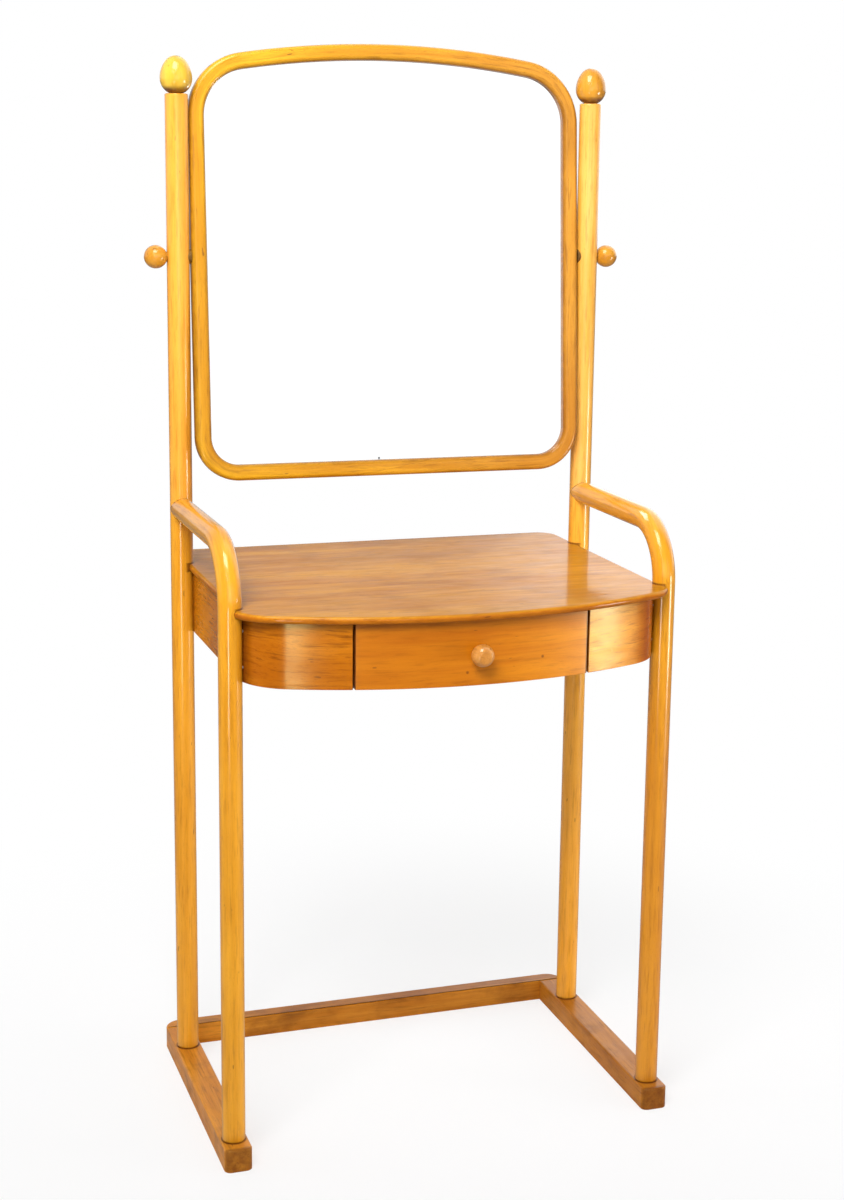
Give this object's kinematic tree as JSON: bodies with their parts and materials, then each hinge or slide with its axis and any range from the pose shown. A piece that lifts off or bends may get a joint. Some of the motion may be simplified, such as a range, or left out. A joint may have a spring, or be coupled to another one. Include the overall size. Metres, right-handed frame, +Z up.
{
  "type": "dressing table",
  "caption": "Bentwood dressing table on a sled base, with a bowed top, a drawer, arms bent from the front legs and a swing mirror held between tall posts.",
  "frame": {"origin": "on the floor, under the middle of the whole object's bounding box", "axes": "+X to the right as seen by someone facing the mirror, -Y to the front, +Z up"},
  "size_m": [0.7024, 0.531, 1.4885],
  "materials": {
    "rod_wood": "gloss lacquer, grain along the rod",
    "base_wood": "gloss lacquer",
    "turned_wood": "gloss lacquer, turned",
    "top_wood": "gloss lacquer, figured grain across",
    "apron_wood": "gloss lacquer, horizontal grain",
    "drawer_front_wood": "gloss lacquer, horizontal grain",
    "frame_wood": "gloss lacquer, grain along the frame",
    "inner_wood": "bare",
    "plywood": "bare",
    "mirror_silver": "silvered glass",
    "steel": "bright",
    "brass": "plain"
  },
  "bodies": {
    "frame": {"left_rear_post": "rod_wood", "right_rear_post": "rod_wood", "left_front_leg": "rod_wood", "right_front_leg": "rod_wood", "arm_screw_plugs": "rod_wood", "left_runner": "base_wood", "right_runner": "base_wood", "rear_rail": "base_wood", "left_finial": "turned_wood", "right_finial": "turned_wood", "table_top": "top_wood", "left_apron": "apron_wood", "right_apron": "apron_wood", "rear_apron": "apron_wood", "left_drawer_guide": "inner_wood", "right_drawer_guide": "inner_wood", "left_drawer_runner": "inner_wood", "right_drawer_runner": "inner_wood", "left_drawer_kicker": "inner_wood", "right_drawer_kicker": "inner_wood", "drawer_stops": "inner_wood", "top_blocks": "inner_wood", "base_dowels": "inner_wood", "rear_apron_dowels": "inner_wood", "apron_screws": "steel", "arm_screws": "steel", "top_block_screws": "steel", "left_pivot_washer": "brass", "right_pivot_washer": "brass"},
    "drawer": {"drawer_front": "drawer_front_wood", "drawer_left_side": "inner_wood", "drawer_right_side": "inner_wood", "drawer_back": "inner_wood", "drawer_bottom": "plywood", "drawer_bottom_screws": "steel", "drawer_knob": "turned_wood", "drawer_knob_screw": "steel"},
    "mirror": {"mirror_frame": "frame_wood", "mirror_glass": "mirror_silver", "mirror_back_board": "plywood", "mirror_back_brads": "steel", "left_pivot_insert": "brass", "right_pivot_insert": "brass"},
    "left_pivot_knob": {"left_pivot_ball": "turned_wood", "left_pivot_screw": "steel"},
    "right_pivot_knob": {"right_pivot_ball": "turned_wood", "right_pivot_screw": "steel"}
  },
  "joints": [
    {"name": "drawer_slide", "type": "slide", "parent": "frame", "child": "drawer", "axis": [0, -1, 0], "range_m": [0, 0.28]},
    {"name": "mirror_tilt", "type": "hinge", "parent": "frame", "child": "mirror", "pos_m": [0, 0.1665, 1.195], "axis": [1, 0, 0], "range_deg": [-56, 64]},
    {"name": "left_knob_turn", "type": "hinge", "parent": "frame", "child": "left_pivot_knob", "pos_m": [0, 0.1665, 1.195], "axis": [-1, 0, 0], "range_deg": [0, 360]},
    {"name": "right_knob_turn", "type": "hinge", "parent": "frame", "child": "right_pivot_knob", "pos_m": [0, 0.1665, 1.195], "axis": [1, 0, 0], "range_deg": [0, 360]}
  ]
}
